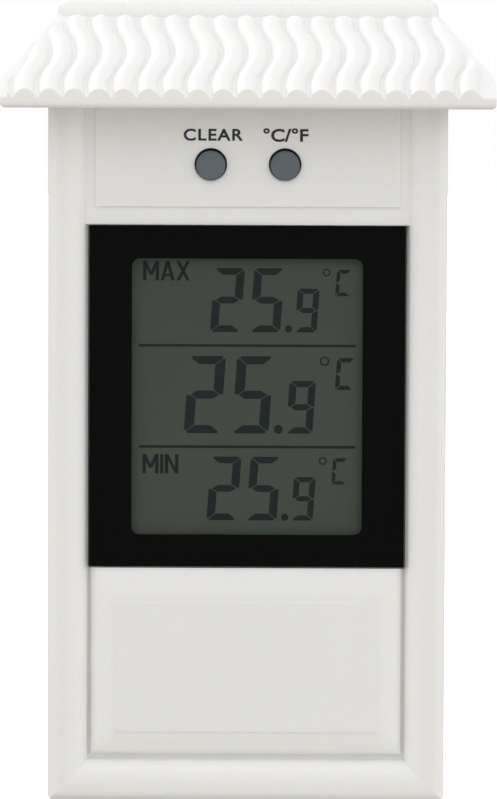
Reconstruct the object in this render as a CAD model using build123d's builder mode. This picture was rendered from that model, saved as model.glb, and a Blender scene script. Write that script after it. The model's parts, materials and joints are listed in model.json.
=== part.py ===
from build123d import *
import math
import os

# A digital maximum and minimum thermometer under a pitched tile roof, in millimetres.
# The front faces -Y, +X is to the right and +Z is up. The origin is on the surface that it
# stands on, under the middle of its bounding box.

os.makedirs("parts", exist_ok=True)

# ---------------------------------------------------------------- driving dimensions
case_width = 64.6
case_top = 115.5
case_corner = 1.0
wall = 2.0
back = 16.0
parting = 4.0
lip_height = 1.5
lip_thickness = 1.0
lip_gap = 0.1

rail_width = 6.5
rail_outer_edge = 6.25
rail_crown = (1.4, 7.92)
rail_shoulder = (4.6, 7.5)
rail_inner_edge = 4.8
rail_foot = 4.0
groove_face = -4.6
wall_inside = -3.4

window_width = 51.5
window_low = 38.0
window_high = 93.8
lens_face = -6.6
lens_back = -5.0
mask_back = -4.85
tape_back = -4.6
view_width = 37.4
view_low = 43.4
view_high = 88.3
view_corner = 1.3

panel_band_face = -6.2
panel_band_overlap = 1.2
panel_face = -6.6
panel_half_width = 24.6
panel_low = 96.7
panel_edge_radius = 0.2

block_half_width = 25.45
block_low = 7.2
block_rim = -6.2
block_draft = 0.55
block_edge_radius = 1.8
block_crease_radius = 5.0
block_top = -7.2
block_side_bevel = 3.6
block_upper_bevel = 4.2
block_lower_bevel = 3.5
block_plateau = -7.35
plateau_width = 42.4
plateau_low = 11.3
plateau_high = 32.5

button_x = 6.0
button_z = 103.6
button_radius = 2.38
button_hole_radius = 2.63
button_tip = -7.6
button_drop = 0.18
button_edge_radius = 0.5

board_front = 2.0
board_back = 3.6
board_half_width = 28.2
board_low = 38.0
board_high = 106.9

cell_radius = 5.25
cell_length = 44.5
cell_y = 7.5
cell_z = 17.0

roof_half_width = 39.7
eave_front = -16.0
eave_low = 112.85
fascia_high = 114.7
hip_low = 117.7
ridge_half_width = 31.2
ridge_front = 8.0
ridge_rear = 12.4
ridge_base = 127.5
ridge_radius = 2.6
hip_radius = 3.0
eave_corner_radius = 0.9
eave_lower_radius = 1.0
eave_upper_radius = 0.5
ridge_y = 10.1
roof_high = 130.0
roof_wall = 2.0

rib_pitch = 3.96
rib_offset = 0.6
rib_radius = 1.85
rib_sink = 0.75
rib_wave_half_length = 10.6
rib_wave_height = 0.97
rib_head = 24.7
rib_first_turn = -2.1
rib_index_low = -10
rib_index_high = 9

case_screw_places = [(x, z) for x in (-26.5, 26.5) for z in (34.0, 109.8)]
board_screw_places = [(x, z) for x in (-25.6, 25.6) for z in (41.0, 103.5)]
roof_screw_places = [(-15.0, 9.0), (15.0, 9.0)]

case_screw_radius = 1.1
board_screw_radius = 0.9
roof_screw_radius = 1.3
pilot_gap = 0.05
through = 6.0
tiny = 0.01

half_width = case_width / 2
inner_half_width = half_width - wall
inner_top = case_top - wall
rail_inside = half_width - rail_width


# ---------------------------------------------------------------- shared helpers
def facing(depth):
    """A sketch plane parallel to the front, at this Y, with its normal towards the front."""
    return Plane.XZ.offset(-depth)


def panel(width, low, high, x=0.0):
    """A rectangle in the current sketch between two heights."""
    with Locations((x, (low + high) / 2)):
        return Rectangle(width, high - low)


def finish(part, name):
    """Labels a finished piece and writes its file."""
    part.label = name
    export_step(part, f"parts/{name}.step")


# ---------------------------------------------------------------- front case
# A moulded shell, open at the back. A U-shaped rail with a convex crown runs down both sides
# and across the bottom, mitred like a picture frame.
rail_start = Plane(origin=(-half_width, 0, case_top), x_dir=(1, 0, 0), z_dir=(0, 0, -1))
panel_pocket_width = 46.0
panel_pocket_depth = 1.0
block_pocket_width = 40.0
block_pocket_depth = 2.0
lens_gap = 0.05
opening_margin = 1.5
case_boss_radius = 2.5
board_boss_radius = 2.2
case_pilot_depth = 5.5
board_pilot_depth = 4.4

with BuildPart() as front_case:
    with BuildSketch(facing(parting)):
        panel(case_width, 0, case_top)
    extrude(amount=parting - groove_face)

    with BuildLine() as rail_path:
        Polyline(
            (-half_width, 0, case_top),
            (-half_width, 0, 0),
            (half_width, 0, 0),
            (half_width, 0, case_top),
        )
    with BuildSketch(rail_start):
        with BuildLine():
            outer_round = TangentArc((0, rail_outer_edge), rail_crown, tangent=(0, 1))
            crown = TangentArc(rail_crown, rail_shoulder, tangent=outer_round % 1)
            TangentArc(rail_shoulder, (rail_width, rail_inner_edge), tangent=crown % 1)
            Polyline(
                (rail_width, rail_inner_edge),
                (rail_width, rail_foot),
                (0, rail_foot),
                (0, rail_outer_edge),
            )
        make_face()
    sweep(path=rail_path.line, transition=Transition.RIGHT)

    # Button panel: a band that runs into the rails, with a slightly raised plateau.
    with BuildSketch(facing(groove_face)):
        panel(2 * (rail_inside + panel_band_overlap), window_high, case_top)
    extrude(amount=groove_face - panel_band_face)
    with BuildSketch(facing(panel_band_face)):
        panel(2 * panel_half_width, panel_low, case_top)
    extrude(amount=panel_band_face - panel_face)
    raised = front_case.faces().filter_by_position(Axis.Y, panel_face - tiny, panel_face + tiny)
    fillet(raised.edges().filter_by_position(Axis.Z, 0, case_top - 1), radius=panel_edge_radius)

    # Lower block: a drafted rim, a wide bevel with soft creases and a thin raised plateau.
    with BuildSketch(facing(groove_face)):
        panel(2 * block_half_width, block_low, window_low)
    with BuildSketch(facing(block_rim)):
        panel(2 * (block_half_width - block_draft), block_low + block_draft, window_low)
    loft()
    with BuildSketch(facing(block_rim)):
        panel(2 * (block_half_width - block_draft), block_low + block_draft, window_low)
    with BuildSketch(facing(block_top)):
        panel(
            2 * (block_half_width - block_side_bevel),
            block_low + block_lower_bevel,
            window_low - block_upper_bevel,
        )
    loft()
    crease = front_case.edges().filter_by_position(Axis.Y, block_top - tiny, block_rim - tiny)
    crease = crease.filter_by_position(Axis.Z, block_low, window_low)
    fillet(crease, radius=block_crease_radius)
    shoulder = front_case.edges().filter_by_position(Axis.Y, block_rim - tiny, block_rim + tiny)
    shoulder = shoulder.filter_by_position(Axis.Z, 0, window_low - 1)
    fillet(shoulder, radius=block_edge_radius)
    with BuildSketch(facing(block_rim)):
        panel(plateau_width, plateau_low, plateau_high)
    extrude(amount=block_rim - block_plateau)

    # The outer corners at the bottom are rounded.
    with BuildSketch(facing(parting)) as outline:
        panel(case_width, 0, case_top)
        fillet(outline.vertices().group_by(Axis.Y)[0], radius=case_corner)
    extrude(amount=parting - block_plateau + 1, mode=Mode.INTERSECT)

    # The cavity, with thinner pockets behind the panel and behind the block.
    with BuildSketch(facing(parting)):
        panel(2 * inner_half_width, wall, inner_top)
    extrude(amount=parting - wall_inside, mode=Mode.SUBTRACT)
    with BuildSketch(facing(wall_inside)):
        panel(panel_pocket_width, panel_low, inner_top)
    extrude(amount=panel_pocket_depth, mode=Mode.SUBTRACT)
    with BuildSketch(facing(wall_inside)):
        panel(block_pocket_width, plateau_low, plateau_high)
    extrude(amount=block_pocket_depth, mode=Mode.SUBTRACT)

    # The lens recess and the opening behind it, which leaves a ledge for the tape.
    with BuildSketch(facing(tape_back)):
        panel(window_width + 2 * lens_gap, window_low, window_high)
    extrude(amount=through, mode=Mode.SUBTRACT)
    with BuildSketch(facing(wall_inside)) as opening:
        panel(view_width + 2 * opening_margin, view_low - opening_margin, view_high + opening_margin)
        fillet(opening.vertices(), radius=view_corner)
    extrude(amount=wall_inside - tape_back, mode=Mode.SUBTRACT)

    # Button holes.
    with BuildSketch(facing(wall_inside)):
        with Locations((-button_x, button_z), (button_x, button_z)):
            Circle(button_hole_radius)
    extrude(amount=through, mode=Mode.SUBTRACT)

    # Bosses for the case screws and the circuit board, with their pilot holes.
    with BuildSketch(facing(parting)):
        with Locations(*case_screw_places):
            Circle(case_boss_radius)
    extrude(amount=parting - wall_inside)
    with BuildSketch(facing(board_front)):
        with Locations(*board_screw_places):
            Circle(board_boss_radius)
    extrude(amount=board_front - wall_inside)
    with BuildSketch(facing(parting)):
        with Locations(*case_screw_places):
            Circle(case_screw_radius + pilot_gap)
    extrude(amount=case_pilot_depth, mode=Mode.SUBTRACT)
    with BuildSketch(facing(board_front)):
        with Locations(*board_screw_places):
            Circle(board_screw_radius + pilot_gap)
    extrude(amount=board_pilot_depth, mode=Mode.SUBTRACT)

finish(front_case.part, "front_case")

# ---------------------------------------------------------------- window stack
# Lens, printed black border, adhesive tape, polariser, the two glasses and the reflector.
mask_margin = 0.15
tape_margin = 0.5
tape_band = 2.0
film_margin = 1.3
film_thickness = 0.2
glass_thickness = 1.1
glass_width = 42.4
front_glass_margin = 3.0
rear_glass_margin = 0.5
reflector_width = 41.6
reflector_margin = 0.2
reflector_thickness = 0.3

with BuildPart() as window_lens:
    with BuildSketch(facing(lens_back)):
        panel(window_width, window_low + lens_gap, window_high - lens_gap)
    extrude(amount=lens_back - lens_face)
    chamfer(window_lens.faces().sort_by(Axis.Y)[0].edges(), length=0.15)
finish(window_lens.part, "window_lens")

with BuildPart() as window_mask:
    with BuildSketch(facing(mask_back)):
        panel(window_width - 2 * mask_margin, window_low + mask_margin, window_high - mask_margin)
        with BuildSketch(facing(mask_back), mode=Mode.SUBTRACT) as view:
            panel(view_width, view_low, view_high)
            fillet(view.vertices(), radius=view_corner)
    extrude(amount=mask_back - lens_back)
finish(window_mask.part, "window_mask")

with BuildPart() as window_tape:
    with BuildSketch(facing(tape_back)):
        panel(window_width - 2 * tape_margin, window_low + tape_margin, window_high - tape_margin)
    extrude(amount=tape_back - mask_back)
    with BuildSketch(facing(tape_back)):
        panel(view_width + 2 * tape_band, view_low - tape_band, view_high + tape_band)
    extrude(amount=tape_back - mask_back, mode=Mode.SUBTRACT)
finish(window_tape.part, "window_tape")

front_glass_back = wall_inside + glass_thickness
rear_glass_back = front_glass_back + glass_thickness
reflector_back = rear_glass_back + reflector_thickness

with BuildPart() as lcd_front_polariser:
    with BuildSketch(facing(wall_inside)) as polariser:
        panel(view_width + 2 * film_margin, view_low - film_margin, view_high + film_margin)
        fillet(polariser.vertices(), radius=view_corner)
    extrude(amount=film_thickness)
finish(lcd_front_polariser.part, "lcd_front_polariser")

with BuildPart() as lcd_front_glass:
    with BuildSketch(facing(front_glass_back)):
        panel(glass_width, view_low - front_glass_margin, view_high + front_glass_margin)
    extrude(amount=glass_thickness)
finish(lcd_front_glass.part, "lcd_front_glass")

with BuildPart() as lcd_rear_glass:
    with BuildSketch(facing(rear_glass_back)):
        panel(glass_width, view_low - rear_glass_margin, view_high + rear_glass_margin)
    extrude(amount=glass_thickness)
finish(lcd_rear_glass.part, "lcd_rear_glass")

with BuildPart() as lcd_reflector:
    with BuildSketch(facing(reflector_back)):
        panel(reflector_width, view_low - reflector_margin, view_high + reflector_margin)
    extrude(amount=reflector_thickness)
finish(lcd_reflector.part, "lcd_reflector")

strip_width = 38.0
strip_half_height = 1.1
strip_offset = 1.75
for strip_name, strip_z in (
    ("zebra_strip_lower", view_low - strip_offset),
    ("zebra_strip_upper", view_high + strip_offset),
):
    with BuildPart() as zebra_strip:
        with BuildSketch(facing(board_front)):
            panel(strip_width, strip_z - strip_half_height, strip_z + strip_half_height)
        extrude(amount=board_front - front_glass_back)
    finish(zebra_strip.part, strip_name)

# The frame that holds the display glass against the front case and carries the strips.
holder_gap = 0.2
holder_wall = 1.6
holder_half_width = glass_width / 2 + holder_gap
holder_low = view_low - front_glass_margin - holder_gap
holder_high = view_high + front_glass_margin + holder_gap
post_width = 1.8
post_half_height = 22.5
bar_width = 39.2
bar_height = 1.2
view_middle = (view_low + view_high) / 2
with BuildPart() as lcd_holder:
    with BuildSketch(facing(board_front)):
        panel(2 * (holder_half_width + holder_wall), holder_low - holder_wall, holder_high + holder_wall)
    extrude(amount=board_front - wall_inside)
    with BuildSketch(facing(board_front)):
        panel(2 * holder_half_width, holder_low, holder_high)
    extrude(amount=board_front - wall_inside, mode=Mode.SUBTRACT)
    with BuildSketch(facing(board_front)):
        post_x = holder_half_width - post_width / 2
        with Locations((-post_x, view_middle), (post_x, view_middle)):
            Rectangle(post_width, 2 * post_half_height)
        with Locations(
            (0, view_middle - post_half_height + bar_height / 2),
            (0, view_middle + post_half_height - bar_height / 2),
        ):
            Rectangle(bar_width, bar_height)
    extrude(amount=board_front - reflector_back)
finish(lcd_holder.part, "lcd_holder")

# ---------------------------------------------------------------- circuit board
board_hole_gap = 0.1
with BuildPart() as circuit_board:
    with BuildSketch(facing(board_back)) as board_outline:
        panel(2 * board_half_width, board_low, board_high)
        chamfer(board_outline.vertices(), length=1.5)
    extrude(amount=board_back - board_front)
    with BuildSketch(facing(board_back)):
        with Locations(*board_screw_places):
            Circle(board_screw_radius + board_hole_gap)
    extrude(amount=board_back - board_front, mode=Mode.SUBTRACT)
finish(circuit_board.part, "circuit_board")

chip_radius = 5.0
chip_height = 1.6
with BuildPart() as chip_blob:
    with BuildSketch(facing(board_back)):
        with Locations((0, view_middle)):
            Circle(chip_radius)
    extrude(amount=-chip_height)
    fillet(chip_blob.faces().sort_by(Axis.Y)[-1].edges(), radius=1.4)
finish(chip_blob.part, "chip_blob")

crystal_low = 74.0
crystal_x = 14.0
crystal_radius = 1.0
crystal_length = 6.0
with BuildPart() as crystal:
    with BuildSketch(Plane.XY.offset(crystal_low)):
        with Locations((crystal_x, board_back + crystal_radius + 0.05)):
            Circle(crystal_radius)
    extrude(amount=crystal_length)
    fillet(crystal.faces().sort_by(Axis.Z)[-1].edges(), radius=0.4)
finish(crystal.part, "crystal")

capacitor_x = -12.0
capacitor_heights = (74.0, 78.0, 82.0)
capacitor_depth = 1.2
with BuildPart() as capacitors:
    with BuildSketch(facing(board_back)):
        with Locations(*[(capacitor_x, z) for z in capacitor_heights]):
            Rectangle(2.0, 1.25)
    extrude(amount=-capacitor_depth)
    chamfer(capacitors.edges().filter_by(Axis.Y), length=0.15)
finish(capacitors.part, "capacitors")

# A bead thermistor on two stiff legs, standing behind the vent slots.
vent_x = 17.0
vent_z = 63.0
leg_half_spacing = 0.6
leg_length = 5.4
bead_radius = 1.3
with BuildPart() as thermistor:
    with BuildSketch(facing(board_back)):
        with Locations((vent_x - leg_half_spacing, vent_z), (vent_x + leg_half_spacing, vent_z)):
            Circle(0.25)
    extrude(amount=-leg_length)
    with Locations((vent_x, board_back + leg_length + 0.2, vent_z)):
        Sphere(bead_radius)
finish(thermistor.part, "thermistor")

# ---------------------------------------------------------------- switches and buttons
switch_side = 6.0
switch_front = board_front - 3.5
bore_depth = 2.6
bore_back = switch_front + bore_depth
bore_radius = 1.85
plunger_front = switch_front - 1.1
plunger_back = plunger_front + bore_depth
plunger_radius = 1.7
flange_radius = 3.5
flange_front = wall_inside - 0.95
flange_back = flange_front + 1.05
stem_radius = 1.5
dome_radius = 3.7
dome_height = 0.36
dome_thickness = 0.12

for side, x in (("clear", -button_x), ("unit", button_x)):
    with BuildPart() as switch:
        with BuildSketch(facing(board_front)):
            with Locations((x, button_z)):
                Rectangle(switch_side, switch_side)
        extrude(amount=board_front - switch_front)
        chamfer(switch.faces().sort_by(Axis.Y)[0].edges(), length=0.3)
        with BuildSketch(facing(bore_back)):
            with Locations((x, button_z)):
                Circle(bore_radius)
        extrude(amount=bore_back - switch_front, mode=Mode.SUBTRACT)
    finish(switch.part, f"{side}_switch")

    # A snap dome at the bottom of the switch, a thin shallow cap of spring steel.
    with BuildPart() as dome:
        with Locations((x, bore_back + dome_radius - dome_height, button_z)):
            Sphere(dome_radius)
            Sphere(dome_radius - dome_thickness, mode=Mode.SUBTRACT)
        split(bisect_by=facing(bore_back), keep=Keep.TOP)
    finish(dome.part, f"{side}_switch_dome")

    with BuildPart() as plunger:
        with BuildSketch(facing(plunger_back)):
            with Locations((x, button_z)):
                Circle(plunger_radius)
        extrude(amount=plunger_back - plunger_front)
        fillet(plunger.faces().sort_by(Axis.Y)[0].edges(), radius=0.2)
    finish(plunger.part, f"{side}_switch_plunger")

    with BuildPart() as button:
        with BuildSketch(facing(flange_back)):
            with Locations((x, button_z - button_drop)):
                Circle(flange_radius)
        extrude(amount=flange_back - flange_front)
        with BuildSketch(facing(flange_front)):
            with Locations((x, button_z - button_drop)):
                Circle(button_radius)
        extrude(amount=flange_front - button_tip)
        fillet(button.faces().sort_by(Axis.Y)[0].edges(), radius=button_edge_radius)
        with BuildSketch(facing(flange_back)):
            with Locations((x, button_z)):
                Circle(stem_radius)
        extrude(amount=flange_back - plunger_front)
    finish(button.part, f"{side}_button")

board_screw_length = 5.5
board_head_radius = 1.8
board_head_height = 1.3
board_cross = (2.0, 0.45)
board_cross_depth = 0.7
with BuildPart() as board_screws:
    with BuildSketch(facing(board_back)):
        with Locations(*board_screw_places):
            Circle(board_screw_radius)
    extrude(amount=board_screw_length)
    chamfer(board_screws.faces().group_by(Axis.Y)[0].edges(), length=0.4)
    with BuildSketch(facing(board_back)):
        with Locations(*board_screw_places):
            Circle(board_head_radius)
    extrude(amount=-board_head_height)
    fillet(board_screws.faces().group_by(Axis.Y)[-1].edges(), radius=0.4)
    with BuildSketch(facing(board_back + board_head_height)):
        with Locations(*board_screw_places):
            Rectangle(*board_cross)
            Rectangle(*board_cross[::-1])
    extrude(amount=board_cross_depth, mode=Mode.SUBTRACT)
finish(board_screws.part, "board_screws")

# ---------------------------------------------------------------- rear case
door_half_width = 26.5
door_low = 0.3
door_high = 25.0
door_corner = 0.6
tongue_reach = 1.1
tab_width = 12.0
tab_height = 1.6
door_inside = 14.2
tongue_back = 15.0
tray_left = -25.5
tray_right = 22.75
tray_low = 11.2
tray_high = 22.8
tray_floor = 2.0
tray_wall = 1.2
frame_front = 12.6
frame_back = 14.1
screw_seat = 8.0
hang_z = 92.0
hang_radius = 4.0
hang_slot = 4.0
hang_top = 101.0
vent_slot = (14.0, 1.4)
vent_pitch = 3.0
lip_half_width = inner_half_width - lip_gap
joint_depth = 1.0
case_column_radius = 2.7
counterbore_radius = 2.1
door_gap = 0.2
groove_gap = 0.1
tab_slot = (0.5, 1.4)

with BuildPart() as rear_case:
    with BuildSketch(facing(back)) as rear_outline:
        panel(case_width, 0, case_top)
        fillet(rear_outline.vertices().group_by(Axis.Y)[0], radius=case_corner)
    extrude(amount=back - parting)
    fillet(rear_case.faces().sort_by(Axis.Y)[-1].edges().group_by(Axis.Z)[0], radius=0.6)
    with BuildSketch(facing(back - wall)):
        panel(2 * inner_half_width, wall, inner_top)
    extrude(amount=back - wall - parting, mode=Mode.SUBTRACT)

    # A locating lip stands inside the front case.
    with BuildSketch(facing(parting + joint_depth)):
        panel(2 * lip_half_width, wall + lip_gap, inner_top - lip_gap)
        with BuildSketch(facing(parting + joint_depth), mode=Mode.SUBTRACT):
            panel(
                2 * (lip_half_width - lip_thickness),
                wall + lip_gap + lip_thickness,
                inner_top - lip_gap - lip_thickness,
            )
    extrude(amount=joint_depth + lip_height)
    with BuildSketch(facing(parting + joint_depth)):
        panel(2 * inner_half_width, wall, inner_top)
        with BuildSketch(facing(parting + joint_depth), mode=Mode.SUBTRACT):
            panel(2 * (lip_half_width - 0.2), wall + 0.3, inner_top - 0.3)
    extrude(amount=joint_depth)

    # The battery tray and the frame that the door slides on.
    with BuildSketch(facing(frame_back)):
        panel(57.2, wall - 0.5, 27.6)
    extrude(amount=frame_back - frame_front)
    tray_width = tray_right - tray_left + 2 * tray_wall
    tray_x = (tray_right + tray_left) / 2
    with BuildSketch(facing(frame_back)):
        panel(tray_width, tray_low - tray_wall, tray_high + tray_wall, x=tray_x)
    extrude(amount=frame_back - tray_floor + tray_wall)
    with BuildSketch(facing(back)):
        panel(tray_right - tray_left, tray_low, tray_high, x=tray_x)
    extrude(amount=back - tray_floor, mode=Mode.SUBTRACT)

    # The door's recess, its two grooves and the slot for its tab, open at the bottom.
    with BuildSketch(facing(back + 1)):
        panel(2 * (door_half_width + door_gap), -1, door_high + door_gap)
    extrude(amount=1 + back - frame_back, mode=Mode.SUBTRACT)
    with BuildSketch(facing(tongue_back + groove_gap)):
        panel(2 * (door_half_width + tongue_reach + door_gap), -1, door_high + door_gap)
        panel(tab_width + 3 * door_gap, door_high - 1, door_high + tab_height + 1.5 * door_gap)
    extrude(amount=tongue_back + groove_gap - frame_back, mode=Mode.SUBTRACT)

    # Screw columns from the back to the parting plane, counterbored.
    with BuildSketch(facing(back - wall)):
        with Locations(*case_screw_places):
            Circle(case_column_radius)
    extrude(amount=back - wall - parting)
    with BuildSketch(facing(back)):
        with Locations(*case_screw_places):
            Circle(counterbore_radius)
    extrude(amount=back - screw_seat, mode=Mode.SUBTRACT)
    with BuildSketch(facing(screw_seat)):
        with Locations(*case_screw_places):
            Circle(case_screw_radius + 3 * pilot_gap)
    extrude(amount=screw_seat - parting, mode=Mode.SUBTRACT)

    # The keyhole hangs on a screw head: a round entry with a narrower slot above it.
    with BuildSketch(facing(back)):
        with Locations((0, hang_z)):
            Circle(hang_radius)
        with Locations((0, hang_top - hang_slot / 2)):
            Circle(hang_slot / 2)
        panel(hang_slot, hang_z, hang_top - hang_slot / 2)
    extrude(amount=wall, mode=Mode.SUBTRACT)

    # Vent slots for the temperature sensor.
    with BuildSketch(facing(back)):
        with Locations((vent_x, vent_z)):
            with GridLocations(vent_pitch, 1.0, 5, 1):
                SlotOverall(*vent_slot, rotation=90)
    extrude(amount=wall, mode=Mode.SUBTRACT)

    # Holes in the top for the roof screws, and slots in the tray for the two solder tabs.
    with BuildSketch(Plane.XY.offset(inner_top)):
        with Locations(*roof_screw_places):
            Circle(roof_screw_radius + door_gap)
    extrude(amount=wall, mode=Mode.SUBTRACT)
    slot_width, slot_half_height = tab_slot
    with BuildSketch(facing(tray_floor)):
        for slot_x in (tray_left + slot_width / 2, tray_right - slot_width / 2):
            panel(slot_width, cell_z - slot_half_height, cell_z + slot_half_height, x=slot_x)
    extrude(amount=tray_wall, mode=Mode.SUBTRACT)

finish(rear_case.part, "rear_case")

case_screw_length = 9.0
case_head_radius = 1.95
case_head_height = 1.6
case_cross = (2.3, 0.5)
case_cross_depth = 0.9
with BuildPart() as case_screws:
    with BuildSketch(facing(screw_seat)):
        with Locations(*case_screw_places):
            Circle(case_screw_radius)
    extrude(amount=case_screw_length)
    chamfer(case_screws.faces().group_by(Axis.Y)[0].edges(), length=0.5)
    with BuildSketch(facing(screw_seat)):
        with Locations(*case_screw_places):
            Circle(case_head_radius)
    extrude(amount=-case_head_height)
    fillet(case_screws.faces().group_by(Axis.Y)[-1].edges(), radius=0.5)
    with BuildSketch(facing(screw_seat + case_head_height)):
        with Locations(*case_screw_places):
            Rectangle(*case_cross)
            Rectangle(*case_cross[::-1])
    extrude(amount=case_cross_depth, mode=Mode.SUBTRACT)
finish(case_screws.part, "case_screws")

# ---------------------------------------------------------------- battery door
grip_z = 6.5
grip_pitch = 1.6
grip_count = 5
grip_bar = (18.0, 0.8)
grip_depth = 0.5
arrow_half_width = 3.5
arrow_low = 13.5
arrow_high = 17.0
arrow_depth = 0.35
with BuildPart() as battery_door:
    with BuildSketch(facing(back)) as door_outline:
        panel(2 * door_half_width, door_low, door_high)
        fillet(door_outline.vertices(), radius=door_corner)
    extrude(amount=back - door_inside)
    with BuildSketch(facing(tongue_back)):
        panel(2 * (door_half_width + tongue_reach), door_low + door_corner, door_high - door_corner)
        panel(tab_width, door_high - 2, door_high + tab_height)
    extrude(amount=tongue_back - door_inside)
    with BuildSketch(facing(back)):
        with Locations((0, grip_z)):
            with GridLocations(1.0, grip_pitch, 1, grip_count):
                Rectangle(*grip_bar)
    extrude(amount=grip_depth, mode=Mode.SUBTRACT)
    # An arrowhead points down, the way that the door slides off.
    with BuildSketch(facing(back)):
        with BuildLine():
            Polyline(
                (0, arrow_low),
                (arrow_half_width, arrow_high),
                (-arrow_half_width, arrow_high),
                close=True,
            )
        make_face()
    extrude(amount=arrow_depth, mode=Mode.SUBTRACT)
finish(battery_door.part, "battery_door")

# ---------------------------------------------------------------- battery and contacts
cell_left = -cell_length / 2
nub_height = 1.0
nub_radius = 1.9
nub_root = 0.1
with BuildPart() as battery_cell:
    with BuildSketch(Plane.YZ.offset(cell_left)):
        with Locations((cell_y, cell_z)):
            Circle(cell_radius)
    extrude(amount=cell_length - nub_height)
    fillet(battery_cell.faces().sort_by(Axis.X)[-1].edges(), radius=0.5)
    fillet(battery_cell.faces().sort_by(Axis.X)[0].edges(), radius=0.3)
    with BuildSketch(Plane.YZ.offset(cell_left + cell_length - nub_height - nub_root)):
        with Locations((cell_y, cell_z)):
            Circle(nub_radius)
    extrude(amount=nub_height + nub_root)
finish(battery_cell.part, "battery_cell")

contact_thickness = 0.3
contact_face = (8.0, 9.0)
solder_tab_height = 2.4
tab_front = -1.0
for contact_name, face_x in (
    ("contact_plate", tray_right - contact_thickness),
    ("contact_base", tray_left),
):
    with BuildPart() as contact:
        with BuildSketch(Plane.YZ.offset(face_x)):
            with Locations((cell_y, cell_z)):
                Rectangle(*contact_face)
            with Locations(((cell_y + tab_front) / 2, cell_z)):
                Rectangle(cell_y - tab_front, solder_tab_height)
        extrude(amount=contact_thickness)
    finish(contact.part, contact_name)

spring_wire_radius = 0.3
spring_start = tray_left + contact_thickness + spring_wire_radius + 0.02
spring_height = 2.2
spring_pitch = 0.75
spring_radius = 3.6
spring_cone_angle = -38
with BuildPart() as contact_spring:
    with BuildLine() as coil:
        Helix(
            pitch=spring_pitch,
            height=spring_height,
            radius=spring_radius,
            center=(spring_start, cell_y, cell_z),
            direction=(1, 0, 0),
            cone_angle=spring_cone_angle,
        )
    with BuildSketch(Plane(origin=coil.line @ 0, z_dir=coil.line % 0)):
        Circle(spring_wire_radius)
    sweep(path=coil.line, is_frenet=True)
finish(contact_spring.part, "contact_spring")

# The two leads run up from the solder tabs, under the board's lower edge and into its back.
wire_radius = 0.5
wire_bends = [6.0, 6.0, 2.0]
pad_z = 47.0
for wire_name, tab_x, pad_x in (
    ("wire_positive", tray_right - contact_thickness / 2, 18.0),
    ("wire_negative", tray_left + contact_thickness / 2, -20.0),
):
    wire_points = [
        (tab_x, -0.3, cell_z + solder_tab_height / 2),
        (tab_x * 0.97, -0.4, 28.5),
        (tab_x * 0.88, 7.0, 35.5),
        (pad_x, 9.2, pad_z),
        (pad_x, board_back, pad_z),
    ]
    with BuildPart() as wire:
        with BuildLine() as route:
            FilletPolyline(*wire_points, radius=wire_bends)
        with BuildSketch(Plane(origin=route.line @ 0, z_dir=route.line % 0)):
            Circle(wire_radius)
        sweep(path=route.line)
    length = sum(edge.length for edge in route.edges())
    ratio = wire.part.volume / (length * math.pi * wire_radius**2)
    print(wire_name, "length", round(length, 1), "volume over section times length", round(ratio, 3))
    finish(wire.part, wire_name)

# ---------------------------------------------------------------- roof
# A hollow moulding with an open underside. The front slope carries wavy round ribs like
# roof tiles, the two sides are cut at 45 degrees and a round roll covers the ridge.
slope_run = ridge_front - eave_front
slope_rise = ridge_base - fascia_high
slope_length = math.hypot(slope_run, slope_rise)
slope = Plane(
    origin=(0, eave_front, fascia_high),
    x_dir=(1, 0, 0),
    z_dir=(0, -slope_rise, slope_run),
)

# Each rib swings left, right and left again in arcs of one radius, and the last is cut short.
wave_radius = (rib_wave_half_length**2 / 4 + rib_wave_height**2) / (2 * rib_wave_height)
turn_1 = rib_first_turn + rib_wave_half_length
turn_2 = turn_1 + rib_wave_half_length
peak_1 = rib_first_turn + rib_wave_half_length / 2
peak_2 = turn_1 + rib_wave_half_length / 2
peak_3 = turn_2 + rib_wave_half_length / 2


def last_swing(reach):
    """Sideways place of a rib's middle line at this distance up the slope, on its last arc."""
    return wave_radius - rib_wave_height - math.sqrt(wave_radius**2 - (reach - peak_3) ** 2)


with BuildPart() as ribs:
    for index in range(rib_index_low, rib_index_high + 1):
        middle = rib_offset + index * rib_pitch
        half_way = (rib_head + turn_2) / 2
        with BuildLine(slope.offset(-rib_sink)) as wave:
            ThreePointArc(
                (middle, rib_first_turn), (middle - rib_wave_height, peak_1), (middle, turn_1)
            )
            ThreePointArc((middle, turn_1), (middle + rib_wave_height, peak_2), (middle, turn_2))
            ThreePointArc(
                (middle, turn_2),
                (middle + last_swing(half_way), half_way),
                (middle + last_swing(rib_head), rib_head),
            )
        with BuildSketch(Plane(origin=wave.line @ 0, z_dir=wave.line % 0)):
            Circle(rib_radius)
        sweep(path=wave.line)
        with Locations(Location(wave.line @ 1)):
            Sphere(rib_radius)

# The ribs stop short of the hips, and are cut off level with the fascia and above its foot.
hip_margin = 1.2
overrun = 3.0
field_depth = 6.0
hip_turn = (hip_low - fascia_high) / slope_rise * slope_length - hip_margin
with BuildPart() as rib_field:
    with BuildSketch(slope.offset(-field_depth)):
        with BuildLine():
            Polyline(
                (-roof_half_width + hip_margin, -overrun),
                (-roof_half_width + hip_margin, hip_turn),
                (-ridge_half_width + hip_margin, slope_length - 1.0),
                (-ridge_half_width + hip_margin, slope_length + overrun),
                (ridge_half_width - hip_margin, slope_length + overrun),
                (ridge_half_width - hip_margin, slope_length - 1.0),
                (roof_half_width - hip_margin, hip_turn),
                (roof_half_width - hip_margin, -overrun),
                close=True,
            )
        make_face()
    extrude(amount=2 * field_depth)
    with BuildSketch(facing(eave_front)):
        panel(3 * roof_half_width, eave_low - through, roof_high + through)
    extrude(amount=2 * field_depth, mode=Mode.SUBTRACT)
    with BuildSketch(facing(back)):
        panel(3 * roof_half_width, eave_low - through, fascia_high - eave_upper_radius)
    extrude(amount=back - eave_front + field_depth, mode=Mode.SUBTRACT)

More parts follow.
